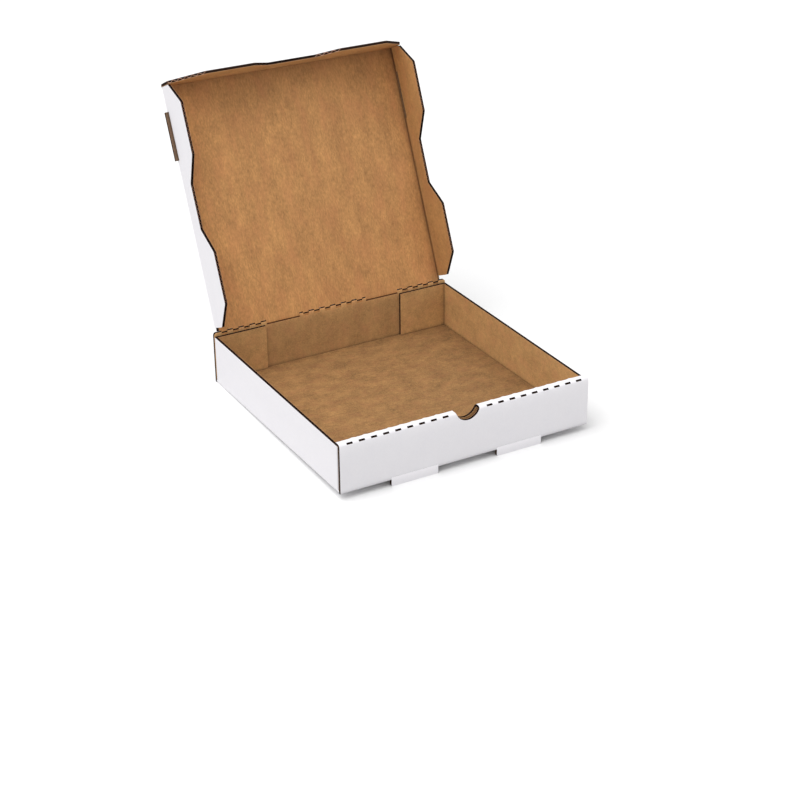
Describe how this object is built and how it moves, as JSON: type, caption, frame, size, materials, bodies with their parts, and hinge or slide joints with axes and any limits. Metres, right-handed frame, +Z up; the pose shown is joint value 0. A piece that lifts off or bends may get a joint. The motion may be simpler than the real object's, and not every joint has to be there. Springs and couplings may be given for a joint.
{
  "type": "pizza box",
  "caption": "Corrugated pizza box standing open: folded tray with a rolled front wall, thumb hole and lock tabs, and a hinged lid with wavy flaps.",
  "frame": {"origin": "middle of the underside of the tray's floor", "axes": "+X to the right seen from the front, +Y from the front wall to the hinge, +Z up; the feet stand below the origin's plane"},
  "size_m": [0.26, 0.3572, 0.2991],
  "materials": {
    "board_tray": "matte, white liner outside and brown kraft liner inside",
    "board_lid": "matte, brown kraft liner inside and white liner outside",
    "board_flap": "matte, white liner outside and brown kraft liner inside"
  },
  "bodies": {
    "tray": {"tray": "board_tray"},
    "lid": {"lid_panel": "board_lid"},
    "right_flap": {"lid_right_flap": "board_flap"},
    "left_flap": {"lid_left_flap": "board_flap"},
    "front_flap": {"lid_front_flap": "board_flap"}
  },
  "joints": [
    {"name": "lid_hinge", "type": "hinge", "parent": "tray", "child": "lid", "pos_m": [0, 0.1286, 0.0506], "axis": [1, 0, 0], "range_deg": [-66.5, 113.5]},
    {"name": "right_flap_fold", "type": "hinge", "parent": "lid", "child": "right_flap", "pos_m": [0.1268, 0.12988, 0.05004], "axis": [0, 0.3987, 0.9171], "range_deg": [-2, 90]},
    {"name": "left_flap_fold", "type": "hinge", "parent": "lid", "child": "left_flap", "pos_m": [-0.1268, 0.12988, 0.05004], "axis": [0, -0.3987, -0.9171], "range_deg": [-2, 90]},
    {"name": "front_flap_fold", "type": "hinge", "parent": "lid", "child": "front_flap", "pos_m": [0, 0.22718, 0.2738], "axis": [-1, 0, 0], "range_deg": [-1, 88]}
  ]
}
